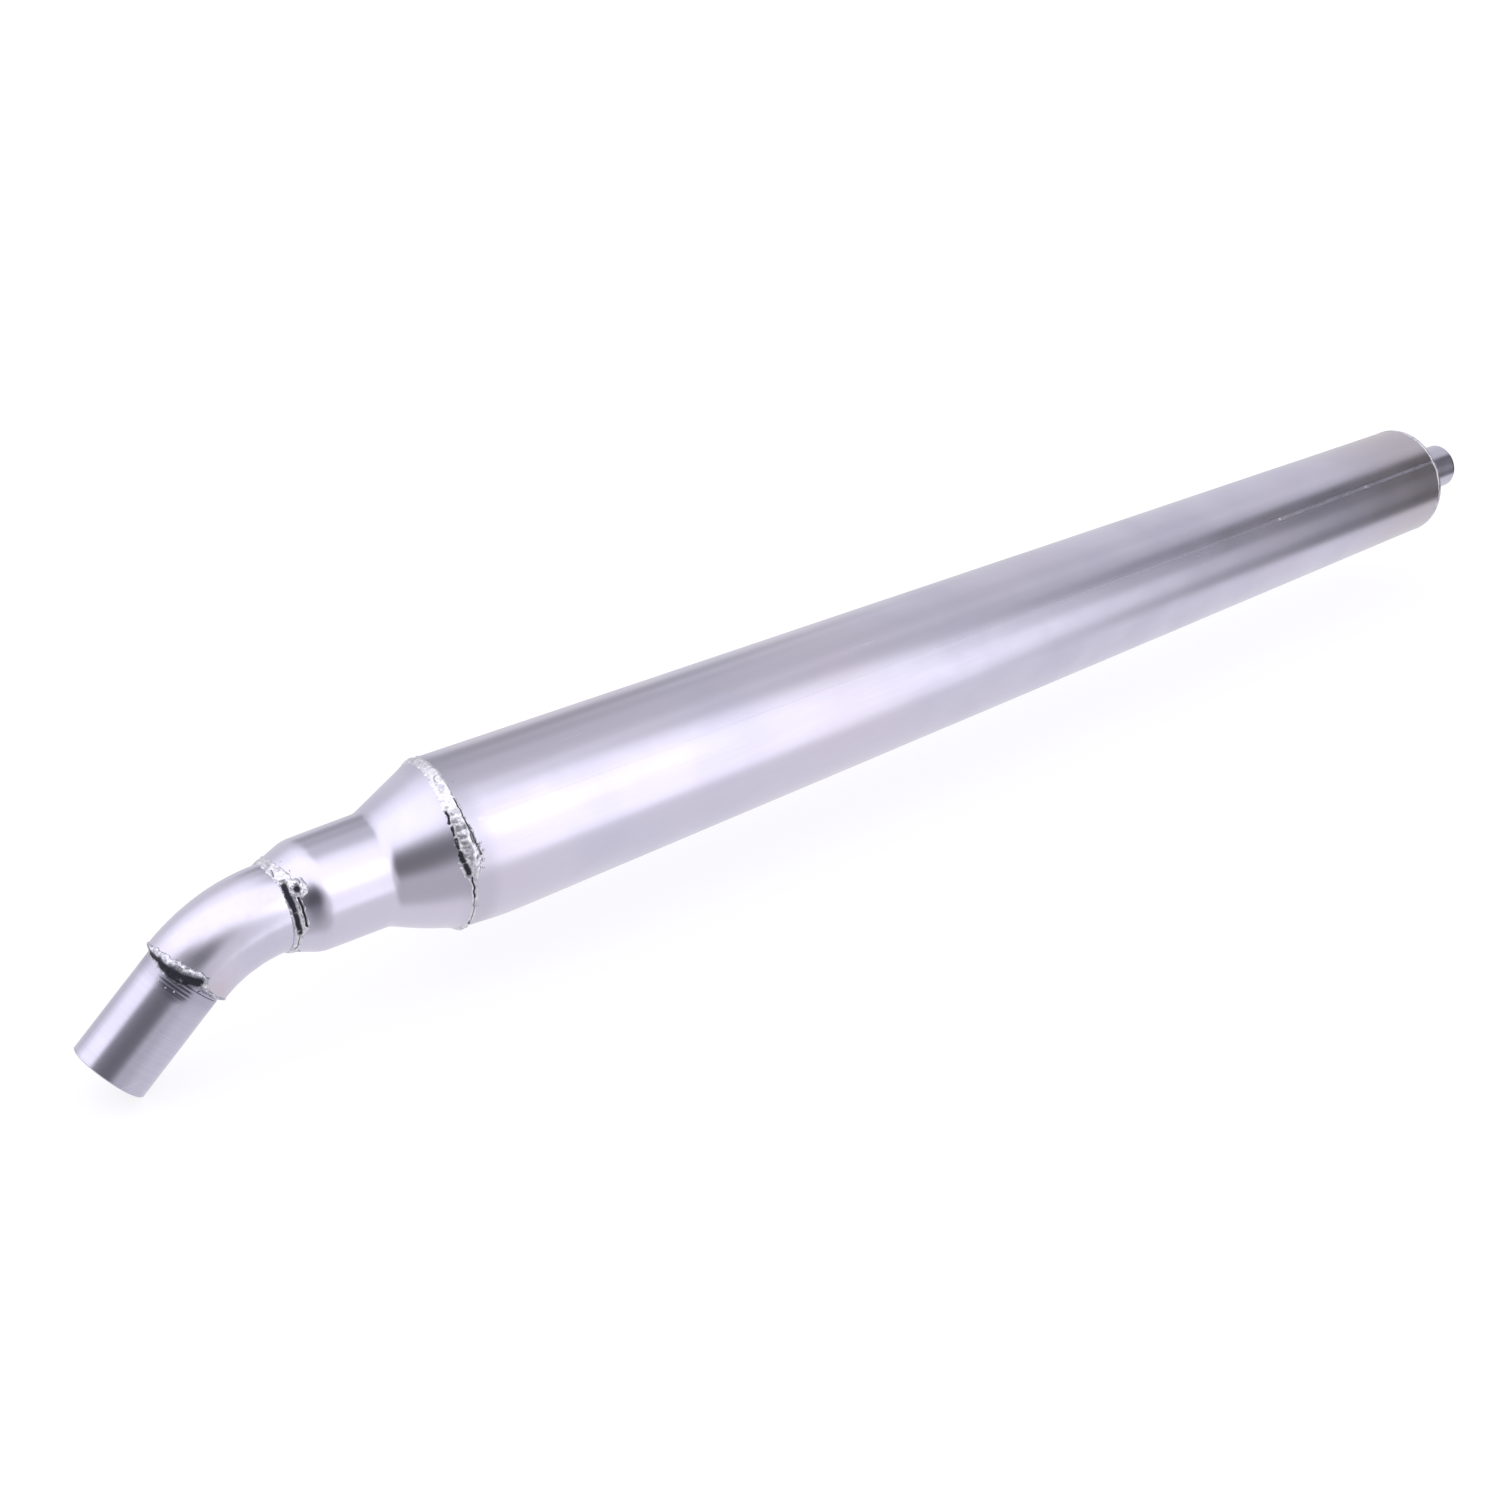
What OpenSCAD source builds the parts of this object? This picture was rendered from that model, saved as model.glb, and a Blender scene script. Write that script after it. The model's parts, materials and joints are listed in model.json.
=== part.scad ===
// Welded two-stroke racing exhaust: inlet spigot, elbow, diverging cone, long silencer shell and tail pipe.
// Origin: centre of the spigot's open end. +X runs along the shell to the tail, +Z is up,
// and the bend lies in the XZ plane with the spigot pointing down and forward.

/* [Inlet] */
// Outside diameter of the inlet spigot
spigot_d = 28; // [24:0.5:32]
// Wall of the spigot tube
spigot_wall = 1.5; // [1:0.1:2]
// Length of the spigot outside the elbow
spigot_len = 41; // [30:0.5:60]
// Length of the spigot that is pushed into the elbow
spigot_grip = 6; // [3:0.5:10]
// Outside diameter of the elbow where it meets the neck
elbow_d = 31.4; // [30.6:0.1:34]
// Bend angle of the elbow
elbow_angle = 40; // [20:1:70]
// Bend radius of the elbow at its centre line
elbow_bend = 52; // [35:1:80]

/* [Cone] */
// Outside diameter of the inlet cone at the elbow
cone_inlet_d = 32; // [31.6:0.1:36]
// Outside diameter of the neck at its elbow end
neck_front_d = 40.4; // [39:0.2:44]
// Outside diameter of the neck where the cone begins
neck_rear_d = 41; // [40:0.1:46]
// Length of the shoulder between elbow and neck
shoulder_len = 11.5; // [10:0.5:18]
// Length of the neck
neck_len = 27.5; // [20:0.5:40]
// Length of the diverging cone
diverge_len = 26; // [20:1:60]
// Wall of the spun cone
cone_wall = 1.5; // [1:0.1:2]

/* [Shell] */
// Outside diameter of the shell at the cone
shell_front_d = 63.5; // [58:0.5:72]
// Outside diameter of the shell at the tail
shell_rear_d = 48.4; // [46:0.2:56]
// Length of the shell
shell_len = 526; // [480:1:600]
// Sheet thickness of the shell
shell_wall = 1.2; // [0.8:0.1:1.6]
// Place of the long seam around the shell, from the top towards the side
seam_angle = 50; // [0:0.5:180]

/* [Tail] */
// Outside diameter of the tail pipe
tail_d = 20; // [17:0.5:22]
// Wall of the tail pipe
tail_wall = 1.5; // [1:0.1:2]
// Length of the tail pipe outside the cap
tail_len = 30; // [20:1:50]

/* [Silencer] */
// Distance from the front of the shell to the reverse cone
chamber_len = 165; // [140:5:180]
// Length of the reverse cone
reverse_len = 90; // [60:5:100]
// Rows of holes in the perforated core
core_rows = 12; // [6:1:12]
// Diameter of a hole in the core
core_hole_d = 3.5; // [2:0.5:4]

/* [Hidden] */
$fn = 96;

steel = [0.74, 0.73, 0.78];
spun_steel = [0.70, 0.69, 0.75];
turned_steel = [0.46, 0.45, 0.51];
weld_grey = [0.30, 0.31, 0.36];
inner_steel = [0.55, 0.53, 0.50];
wool = [0.85, 0.80, 0.62];
screen_steel = [0.50, 0.50, 0.52];

// Running gap between pieces that slide into each other
gap = 0.05;
// How far the cutting solids run past the faces that they cut
past = 1;

spigot_r = spigot_d / 2;
elbow_r = elbow_d / 2;
tail_r = tail_d / 2;
shell_front_r = shell_front_d / 2;
shell_rear_r = shell_rear_d / 2;
cone_len = shoulder_len + neck_len + diverge_len;

// Ends of the elbow's centre line, and the front of the shell
bend_start = [spigot_len * cos(elbow_angle), spigot_len * sin(elbow_angle)];
bend_end = bend_start + elbow_bend * [sin(elbow_angle), 1 - cos(elbow_angle)];
shell_x = bend_end[0] + cone_len;
axis_z = bend_end[1];

// Outline of the inlet cone, from the elbow to the shell
cone_corners = [
    [0, cone_inlet_d / 2],
    [shoulder_len, neck_front_d / 2],
    [shoulder_len + neck_len, neck_rear_d / 2],
    [cone_len, shell_front_r]
];
cone_inner_r = cone_inlet_d / 2 - cone_wall;
shoulder_round = 14;
throat_round = 10;
arc_steps = 10;

// Cap: a dish with a flange inside the shell and a rim that covers the shell's edge
cap_thick = 1.5;
cap_flange = 9;
cap_rim = 1.2;
cap_rim_width = 3;
cap_rim_foot = 5;

// Core: tube, wire screen and its rings
core_r = 9;
core_wall = 1;
core_growth = 3;
core_row_start = 24;
screen_wall = 0.4;
ring_thick = 1.2;
cone_flange = 7;
collar_len = 4;
bulkhead_flange = 5;
bulkhead_ahead = 8;
socket_wall = 1.5;
socket_len = 14;

core_front_x = chamber_len + reverse_len;
cap_inner_x = shell_len - cap_thick;
core_end_x = cap_inner_x - core_growth;
socket_x = cap_inner_x - socket_len;
bulkhead_x = core_front_x + bulkhead_ahead;
centre_x = (bulkhead_x + cap_inner_x) / 2;
wool_x = bulkhead_x + ring_thick + gap;
wool_end_x = socket_x - gap;
screen_r = core_r + gap + screen_wall;
wool_inner_r = screen_r + gap;

// Welds: radius of each bead's cross-section, and its middle as [distance along the axis, radius]
spigot_bead = 1.8;
spigot_bead_mid = [-0.2, spigot_r + 0.6];
elbow_bead = 1.5;
elbow_bead_mid = [0, elbow_r];
cone_bead = 2;
cone_bead_mid = [0, shell_front_r - 0.3];
cap_bead = 0.9;
cap_bead_mid = [0, shell_rear_r - 0.1];
tail_bead = 1.4;
tail_bead_mid = [0.2, tail_r + 0.3];
core_bead = 1;
core_bead_mid = [0.2, core_r + 0.4];
// Room under the elbow's weld for the curve of the bend
bend_room = 0.1;
// How far the walls under a weld are drawn to each side of it
weld_reach = 6;

// Lump of filler on the shoulder: its radius, its place and its height above the inlet
stop_r = 2.1;
stop_ahead = 6.5;
stop_lift = 2.2;
stop_angle = 48;

seam_width = 1.8;
seam_proud = 0.2;

// The two pipe ends are turned down in their seats, so each free end has a wall of its own
seat_step = 0.3;
spigot_seat_r = spigot_r - seat_step;
spigot_free = spigot_len - spigot_bead - seat_step;
tail_seat_r = tail_r - seat_step;
tail_seat = tail_bead + 0.4;

// Outside radius of the shell at a distance from its front
function shell_r(x) = shell_front_r + (shell_rear_r - shell_front_r) * x / shell_len;
function shell_inner_r(x) = shell_r(x) - shell_wall;

// Radius of the pieces that sit inside the shell
function fitted_r(x) = shell_inner_r(x) - gap;

// Points of an arc of radius r that rounds corner b of the outline a, b, c
function rounded(a, b, c, r, steps) =
    let (
        into = (b - a) / norm(b - a),
        out = (c - b) / norm(c - b),
        turn = acos(into * out),
        side = sign(into[0] * out[1] - into[1] * out[0]),
        start = b - into * r * tan(turn / 2),
        middle = start + side * r * [-into[1], into[0]],
        spoke = start - middle
    )
    [for (i = [0:steps])
        let (t = side * turn * i / steps)
        middle + [spoke[0] * cos(t) - spoke[1] * sin(t), spoke[0] * sin(t) + spoke[1] * cos(t)]
    ];

cone_outline = concat(
    [cone_corners[0]],
    rounded(cone_corners[0], cone_corners[1], cone_corners[2], shoulder_round, arc_steps),
    rounded(cone_corners[1], cone_corners[2], cone_corners[3], throat_round, arc_steps),
    [cone_corners[3]]
);

// Draws an outline of [distance along the axis, radius] points for rotate_extrude
module section(points) {
    polygon([for (p = points) [p[1], p[0]]]);
}

// Turns an outline about the X axis
module turned(points) {
    rotate([0, 90, 0])
        rotate_extrude()
            section(points);
}

// A weld about the X axis: a round bead, less the section of the walls that it lies on
module weld(middle, bead, walls) {
    rotate([0, 90, 0])
        rotate_extrude()
            difference() {
                translate([middle[1], middle[0]]) circle(r = bead, $fn = 32);
                section(walls);
            }
}

module tube(outer, inner, length) {
    rotate([0, 90, 0])
        difference() {
            cylinder(r = outer, h = length);
            translate([0, 0, -past]) cylinder(r = inner, h = length + 2 * past);
        }
}

// Turns X onto the spigot's axis, at a distance from its open end
module on_spigot(x = 0) {
    rotate([0, -elbow_angle, 0])
        translate([x, 0, 0])
            children();
}

module at_elbow() {
    translate([bend_end[0], 0, axis_z]) children();
}

module at_shell(x = 0) {
    translate([shell_x + x, 0, axis_z]) children();
}

// Full diameter in the free stretch, turned down under the weld and in the elbow
module inlet_spigot() {
    color(turned_steel)
        on_spigot()
            turned([
                [0, spigot_r - spigot_wall],
                [0, spigot_r],
                [spigot_free, spigot_r],
                [spigot_free, spigot_seat_r],
                [spigot_len + spigot_grip, spigot_seat_r],
                [spigot_len + spigot_grip, spigot_r - spigot_wall]
            ]);
}

// The elbow's bore has a straight counterbore in which the spigot sits
module elbow() {
    color(steel)
        difference() {
            translate([bend_end[0], 0, axis_z - elbow_bend])
                rotate([90, 0, 0])
                    rotate([0, 0, 90])
                        rotate_extrude(angle = elbow_angle)
                            translate([elbow_bend, 0])
                                difference() {
                                    circle(r = elbow_r);
                                    circle(r = spigot_r - spigot_wall);
                                }
            on_spigot(spigot_len - past)
                rotate([0, 90, 0])
                    cylinder(r = spigot_seat_r + gap, h = spigot_grip + past + gap);
        }
}

module spigot_weld() {
    color(weld_grey)
        on_spigot(spigot_len)
            weld(spigot_bead_mid, spigot_bead, [
                [-weld_reach, 0],
                [-weld_reach, spigot_seat_r],
                [0, spigot_seat_r],
                [0, elbow_r],
                [weld_reach, elbow_r],
                [weld_reach, 0]
            ]);
}

module elbow_weld() {
    color(weld_grey)
        at_elbow()
            weld(elbow_bead_mid, elbow_bead, concat(
                [[-weld_reach, 0], [-weld_reach, elbow_r + bend_room], [0, elbow_r + bend_room]],
                cone_outline,
                [[cone_len, 0]]
            ));
}

// Lump of filler left on the shoulder where the elbow's weld was stopped
module weld_stop() {
    color(weld_grey)
        at_elbow()
            difference() {
                rotate([stop_angle, 0, 0])
                    translate([stop_ahead, 0, cone_inlet_d / 2 + stop_lift])
                        sphere(r = stop_r, $fn = 24);
                turned(concat([[0, 0]], cone_outline, [[cone_len, 0]]));
            }
}

module inlet_cone() {
    color(spun_steel)
        at_elbow()
            difference() {
                turned(concat([[0, 0]], cone_outline, [[cone_len, 0]]));
                turned(concat(
                    [[-past, 0], [-past, cone_inner_r], [0, cone_inner_r]],
                    [for (i = [1:len(cone_outline) - 1]) cone_outline[i] - [0, cone_wall]],
                    [[cone_len + past, shell_front_r - cone_wall], [cone_len + past, 0]]
                ));
            }
}

module cone_weld() {
    color(weld_grey)
        at_shell()
            weld(cone_bead_mid, cone_bead, [
                [-diverge_len, 0],
                [-diverge_len, neck_rear_d / 2],
                [0, shell_front_r],
                [weld_reach, shell_r(weld_reach)],
                [weld_reach, 0]
            ]);
}

// The slot between the rolled sheet's two edges, as a bar along the shell's upper side
module seam_bar() {
    rotate([seam_angle, 0, 0])
        translate([-past, -seam_width / 2, 0])
            cube([shell_len + 2 * past, seam_width, shell_front_d]);
}

module shell() {
    color(steel)
        at_shell()
            difference() {
                turned([
                    [0, shell_inner_r(0)],
                    [0, shell_r(0)],
                    [shell_len, shell_r(shell_len)],
                    [shell_len, shell_inner_r(shell_len)]
                ]);
                seam_bar();
            }
}

module shell_seam() {
    color(weld_grey)
        at_shell()
            intersection() {
                turned([
                    [cone_bead, shell_inner_r(cone_bead)],
                    [cone_bead, shell_r(cone_bead) + seam_proud],
                    [shell_len, shell_r(shell_len) + seam_proud],
                    [shell_len, shell_inner_r(shell_len)]
                ]);
                seam_bar();
            }
}

// Pressed dish: flat face with a flange forward into the shell and a rim over the shell's edge
module rear_cap() {
    color(steel)
        at_shell()
            turned([
                [cap_inner_x, tail_seat_r + gap],
                [cap_inner_x, shell_inner_r(cap_inner_x) - cap_thick],
                [shell_len - cap_flange, fitted_r(shell_len - cap_flange) - cap_thick],
                [shell_len - cap_flange, fitted_r(shell_len - cap_flange)],
                [shell_len, fitted_r(shell_len)],
                [shell_len, shell_rear_r],
                [shell_len + cap_rim, shell_rear_r],
                [shell_len + cap_rim, shell_rear_r - cap_rim_width],
                [shell_len, shell_rear_r - cap_rim_foot],
                [shell_len, tail_seat_r + gap]
            ]);
}

module cap_weld() {
    color(weld_grey)
        at_shell(shell_len)
            weld(cap_bead_mid, cap_bead, [
                [-weld_reach, 0],
                [-weld_reach, shell_r(shell_len - weld_reach)],
                [0, shell_rear_r],
                [cap_rim, shell_rear_r],
                [cap_rim, shell_rear_r + weld_reach],
                [weld_reach, shell_rear_r + weld_reach],
                [weld_reach, 0]
            ]);
}

// Like the spigot, turned down in the cap and under its weld
module tail_pipe() {
    color(steel)
        at_shell(shell_len)
            turned([
                [-cap_thick, tail_r - tail_wall],
                [-cap_thick, tail_seat_r],
                [tail_seat, tail_seat_r],
                [tail_seat, tail_r],
                [tail_len, tail_r],
                [tail_len, tail_r - tail_wall]
            ]);
}

module tail_weld() {
    color(weld_grey)
        at_shell(shell_len)
            weld(tail_bead_mid, tail_bead, [
                [-weld_reach, 0],
                [-weld_reach, tail_r + weld_reach],
                [0, tail_r + weld_reach],
                [0, tail_seat_r],
                [weld_reach, tail_seat_r],
                [weld_reach, 0]
            ]);
}

// Converging cone that ends the resonance chamber and feeds the core
module reverse_cone() {
    color(inner_steel)
        at_shell()
            turned([
                [chamber_len - cone_flange, fitted_r(chamber_len - cone_flange) - cone_wall],
                [chamber_len - cone_flange, fitted_r(chamber_len - cone_flange)],
                [chamber_len, fitted_r(chamber_len)],
                [core_front_x, core_r + cone_wall],
                [core_front_x + collar_len, core_r + cone_wall],
                [core_front_x + collar_len, core_r + gap],
                [core_front_x, core_r + gap],
                [chamber_len, fitted_r(chamber_len) - cone_wall]
            ]);
}

module core_weld() {
    color(weld_grey)
        at_shell(core_front_x + collar_len)
            weld(core_bead_mid, core_bead, [
                [-weld_reach, 0],
                [-weld_reach, core_r + weld_reach],
                [0, core_r + weld_reach],
                [0, core_r],
                [weld_reach, core_r],
                [weld_reach, 0]
            ]);
}

// Every second row of holes is turned by half a step
module perforated_core() {
    row_pitch = (core_end_x - core_front_x - 2 * core_row_start) / (core_rows - 1);
    color(inner_steel)
        at_shell(core_front_x)
            difference() {
                tube(core_r, core_r - core_wall, core_end_x - core_front_x);
                for (row = [0:core_rows - 1])
                    for (turn = [0:60:120])
                        translate([core_row_start + row * row_pitch, 0, 0])
                            rotate([turn + 30 * (row % 2), 0, 0])
                                cylinder(d = core_hole_d, h = 4 * core_r, center = true);
            }
}

module packing_screen() {
    color(screen_steel)
        at_shell(wool_x)
            tube(screen_r, core_r + gap, wool_end_x - wool_x);
}

// A ring that fills the tapered shell round a hole, from one distance to another
module shell_plug(from, to, inner) {
    turned([
        [from, inner],
        [from, fitted_r(from)],
        [to, fitted_r(to)],
        [to, inner]
    ]);
}

module packing_front() {
    color(wool)
        at_shell()
            shell_plug(wool_x, centre_x - gap, wool_inner_r);
}

module packing_rear() {
    color(wool)
        at_shell()
            shell_plug(centre_x + ring_thick + gap, wool_end_x, wool_inner_r);
}

// Ring with a short flange against the shell, open round the core
module front_bulkhead() {
    flange_x = bulkhead_x - bulkhead_flange;
    color(inner_steel)
        at_shell()
            turned([
                [bulkhead_x + ring_thick, core_r + gap],
                [bulkhead_x, core_r + gap],
                [bulkhead_x, fitted_r(bulkhead_x) - ring_thick],
                [flange_x, fitted_r(flange_x) - ring_thick],
                [flange_x, fitted_r(flange_x)],
                [bulkhead_x + ring_thick, fitted_r(bulkhead_x + ring_thick)]
            ]);
}

module centre_ring() {
    color(inner_steel)
        at_shell()
            shell_plug(centre_x, centre_x + ring_thick, wool_inner_r);
}

// Socket welded inside the cap, in which the core's free end can grow with heat
module core_socket() {
    color(inner_steel)
        at_shell(socket_x)
            tube(core_r + gap + socket_wall, core_r + gap, socket_len);
}

inlet_spigot();
spigot_weld();
elbow();
elbow_weld();
weld_stop();
inlet_cone();
cone_weld();
shell();
shell_seam();
rear_cap();
cap_weld();
tail_pipe();
tail_weld();
reverse_cone();
core_weld();
perforated_core();
packing_screen();
packing_front();
packing_rear();
front_bulkhead();
centre_ring();
core_socket();
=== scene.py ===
import json
import math

import bmesh
import bpy
from mathutils import Matrix, Vector, noise


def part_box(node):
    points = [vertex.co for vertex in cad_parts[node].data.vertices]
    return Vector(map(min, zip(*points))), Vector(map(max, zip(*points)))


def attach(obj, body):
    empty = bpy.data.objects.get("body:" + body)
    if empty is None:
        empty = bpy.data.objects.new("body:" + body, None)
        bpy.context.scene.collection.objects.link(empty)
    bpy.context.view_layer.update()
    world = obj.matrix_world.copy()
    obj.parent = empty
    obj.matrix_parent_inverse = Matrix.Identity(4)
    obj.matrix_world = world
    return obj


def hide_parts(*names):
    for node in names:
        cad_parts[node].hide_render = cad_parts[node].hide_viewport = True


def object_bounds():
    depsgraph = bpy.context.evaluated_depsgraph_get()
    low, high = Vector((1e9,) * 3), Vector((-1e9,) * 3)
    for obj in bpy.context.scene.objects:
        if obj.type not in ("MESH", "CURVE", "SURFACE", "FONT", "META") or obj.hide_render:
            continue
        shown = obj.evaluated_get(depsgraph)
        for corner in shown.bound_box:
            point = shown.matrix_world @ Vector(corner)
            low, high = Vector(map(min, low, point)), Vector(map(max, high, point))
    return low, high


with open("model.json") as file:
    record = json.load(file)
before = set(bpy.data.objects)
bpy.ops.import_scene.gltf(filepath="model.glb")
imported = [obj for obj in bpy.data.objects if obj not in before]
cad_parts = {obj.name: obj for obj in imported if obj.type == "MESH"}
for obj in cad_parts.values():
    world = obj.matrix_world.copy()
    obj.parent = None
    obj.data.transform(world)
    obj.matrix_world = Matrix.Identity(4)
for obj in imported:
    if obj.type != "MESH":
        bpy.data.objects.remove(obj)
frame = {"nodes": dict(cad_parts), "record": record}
cadLow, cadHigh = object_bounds()

mm = 0.001

# places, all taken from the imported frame, in millimetres

def nodeBox(node):
    low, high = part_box(node)
    return Vector(low) / mm, Vector(high) / mm


mounts = {mount["name"]: mount for mount in frame["record"]["mounts"]}
shellLow, shellHigh = nodeBox("shell")
coneLow, coneHigh = nodeBox("inlet_cone")
capLow, capHigh = nodeBox("rear_cap")
elbowLow, elbowHigh = nodeBox("elbow")
seamLow, seamHigh = nodeBox("shell_seam")

tailEnd = mounts["tail_spigot"]["pos_m"][0] / mm
axisZ = mounts["tail_spigot"]["pos_m"][2] / mm
tailR = mounts["tail_spigot"]["dims"]["r_mm"]
tailBoreR = mounts["tail_bore"]["dims"]["r_mm"]
spigotR = mounts["inlet_spigot"]["dims"]["r_mm"]
spigotBoreR = mounts["inlet_bore"]["dims"]["r_mm"]
shellX = shellLow.x
shellLen = shellHigh.x - shellLow.x
frontR = (coneHigh.y - coneLow.y) / 2
rearR = (capHigh.y - capLow.y) / 2
coneX = coneLow.x
coneLen = shellX - coneX
elbowR = (elbowHigh.y - elbowLow.y) / 2
seamAngle = math.atan2(-(seamLow.y + seamHigh.y) / 2, (seamLow.z + seamHigh.z) / 2 - axisZ)

# the spigot's axis, and the length and bend radius that take it to the cone
spigotWay = -Vector(mounts["inlet_spigot"]["axis"])
bendAngle = math.atan2(spigotWay.z, spigotWay.x)
bendRise = 1 - math.cos(bendAngle)
spigotLen = axisZ * math.sin(bendAngle) / bendRise - coneX
bendR = (coneX * math.sin(bendAngle) - axisZ * math.cos(bendAngle)) / bendRise

# local X along each axis, local Z its upper side
onShellAxis = Matrix.Translation((0, 0, axisZ))
onSpigotAxis = Matrix.Rotation(-bendAngle, 4, "Y")
onBend = Matrix.Translation((coneX, 0, axisZ - bendR))

print("frame read: shell", round(shellLen), "mm, bend", round(math.degrees(bendAngle)), "degrees")

# camera and light

cameraLook = {
    "aim": (265.0, -4.6, 31.8),
    "azimuth": 37.03,
    "elevation": 28.97,
    "roll": -1.02,
    "distance": 876.2,
    "lens": 54.74,
    "sensor": 36,
    "farthest": 20,
}


def makeCamera():
    data = bpy.data.cameras.new("camera")
    data.lens = cameraLook["lens"]
    data.sensor_width = cameraLook["sensor"]
    data.clip_end = cameraLook["farthest"]
    camera = bpy.data.objects.new("camera", data)
    bpy.context.collection.objects.link(camera)
    turn = Matrix.Rotation(math.radians(-cameraLook["azimuth"]), 4, "Z")
    tip = Matrix.Rotation(math.radians(90 - cameraLook["elevation"]), 4, "X")
    roll = Matrix.Rotation(math.radians(cameraLook["roll"]), 4, "Z")
    back = Matrix.Translation((0, 0, cameraLook["distance"] * mm))
    aim = Matrix.Translation(Vector(cameraLook["aim"]) * mm)
    camera.matrix_world = aim @ turn @ tip @ roll @ back
    bpy.context.scene.camera = camera


class Wire:  # one socket of a node tree, so that shader maths reads as plain expressions
    def __init__(self, tree, socket=None):
        self.tree = tree
        self.socket = socket

    def node(self, kind, settings=None, values=None, output=0):
        made = self.tree.nodes.new("ShaderNode" + kind)
        for name, setting in (settings or {}).items():
            setattr(made, name, setting)
        for key, value in (values or {}).items():
            if isinstance(value, Wire):
                self.tree.links.new(value.socket, made.inputs[key])
            else:
                made.inputs[key].default_value = value
        return Wire(self.tree, made.outputs[output]) if made.outputs else made

    def maths(self, operation, first, second=0.0):
        return self.node("Math", {"operation": operation}, {0: first, 1: second})

    def __add__(self, other):
        return self.maths("ADD", self, other)

    def __radd__(self, other):
        return self.maths("ADD", other, self)

    def __sub__(self, other):
        return self.maths("SUBTRACT", self, other)

    def __rsub__(self, other):
        return self.maths("SUBTRACT", other, self)

    def __mul__(self, other):
        return self.maths("MULTIPLY", self, other)

    def __rmul__(self, other):
        return self.maths("MULTIPLY", other, self)

    def step(self, low, high):  # 0 at low, 1 at high, eased; low may be the larger one
        reach = {"From Min": low, "From Max": high}
        return self.node("MapRange", {"interpolation_type": "SMOOTHSTEP"}, {"Value": self, **reach})

    def blend(self, first, second):  # colours, by this wire as the factor
        return self.node("Mix", {"data_type": "RGBA"}, {0: self, 6: first, 7: second}, output=2)

    def vector(self, operation, first, second, output=0):
        return self.node("VectorMath", {"operation": operation}, {0: first, 1: second}, output)


def heading(azimuth, elevation):  # azimuth 0 is +Y, 90 is +X
    az, el = math.radians(azimuth), math.radians(elevation)
    return Vector((math.sin(az) * math.cos(el), math.cos(az) * math.cos(el), math.sin(el)))


studio = {
    "base": 0.84,
    "backdrop": 1.1,
    "tint": (0.985, 0.975, 1.0, 1),
    # azimuth, elevation, full inside, gone outside (degrees), level; each lies over the ones before
    "lobes": [
        (-62, 40, 22, 54, 1.3),
        (-90, 76, 20, 60, 1.4),
        (25, 20, 6, 15, 0.44),
        (34, 42, 4, 14, 0.5),
        (62, 56, 8, 22, 0.68),
        (112, 47, 9, 18, 0.62),
        (-134, 12, 87, 91, 1.62),
        (-162, 2, 27, 42, 0.86),
        (0, -90, 68, 76, 0.94),
        (-160, -28, 12, 34, 0.62),
        (118, -9, 14, 18, 0.04),
        (118, 4, 14, 18, 0.04),
        (118, 17, 14, 18, 0.04),
        (114, 28, 10, 16, 0.06),
        (-122, 24, 22, 31, 0.25),
        (-150, 22, 9, 32, 0.2),
    ],
    "keyLight": {"azimuth": 160, "elevation": 30, "distance": 2.2, "size": 1.1, "power": 1.0},
}


def makeWorld():
    world = bpy.data.worlds.new("studio")
    world.use_nodes = True
    world.node_tree.nodes.clear()
    wire = Wire(world.node_tree)
    way = wire.node("TexCoord", output="Generated")
    level = studio["base"]
    for azimuth, elevation, full, gone, strength in studio["lobes"]:
        facing = wire.vector("DOT_PRODUCT", way, heading(azimuth, elevation), "Value")
        lobe = facing.step(math.cos(math.radians(gone)), math.cos(math.radians(full)))
        level = (1 - lobe) * level + lobe * strength
    sky = wire.node("Background", values={"Color": studio["tint"], "Strength": level})
    backdrop = wire.node("Background", values={"Color": studio["tint"], "Strength": studio["backdrop"]})
    direct = wire.node("LightPath", output="Is Camera Ray")
    both = wire.node("MixShader", values={0: direct, 1: sky, 2: backdrop})
    wire.node("OutputWorld", values={"Surface": both})
    bpy.context.scene.world = world


def makeKeyLight():
    look = studio["keyLight"]
    data = bpy.data.lights.new("keyLight", "AREA")
    data.shape = "DISK"
    data.size = look["size"]
    data.energy = look["power"]
    lamp = bpy.data.objects.new("keyLight", data)
    bpy.context.collection.objects.link(lamp)
    way = heading(look["azimuth"], look["elevation"])
    lamp.location = Vector(cameraLook["aim"]) * mm + way * look["distance"]
    lamp.rotation_euler = way.to_track_quat("Z", "Y").to_euler()


floorLook = {"drop": 0.3, "reach": 9.0, "sides": 64, "colour": (0.20, 0.20, 0.205, 1), "glow": 0.85}


def makeFloor():
    form = bmesh.new()
    bmesh.ops.create_circle(form, cap_ends=True, radius=floorLook["reach"], segments=floorLook["sides"])
    data = bpy.data.meshes.new("floor")
    form.to_mesh(data)
    form.free()
    floor = bpy.data.objects.new("floor", data)
    floor.location.z = cadLow.z - floorLook["drop"] * mm
    bpy.context.collection.objects.link(floor)
    material = bpy.data.materials.new("floor")
    material.use_nodes = True
    material.node_tree.nodes.clear()
    wire = Wire(material.node_tree)
    paper = wire.node("BsdfDiffuse", values={"Color": floorLook["colour"]})
    glow = wire.node("Emission", values={"Color": studio["tint"], "Strength": floorLook["glow"]})
    both = wire.node("AddShader", values={0: paper, 1: glow})
    wire.node("OutputMaterial", values={"Surface": both})
    data.materials.append(material)
    floor.visible_glossy = False  # the steel sees the studio's own lower half


makeCamera()
makeWorld()
makeKeyLight()
makeFloor()
bpy.context.scene.view_settings.view_transform = "Standard"
print("camera, light and floor made")

# mesh making

creaseAngle = math.radians(38)  # edges that bend more than this stay sharp


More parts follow.
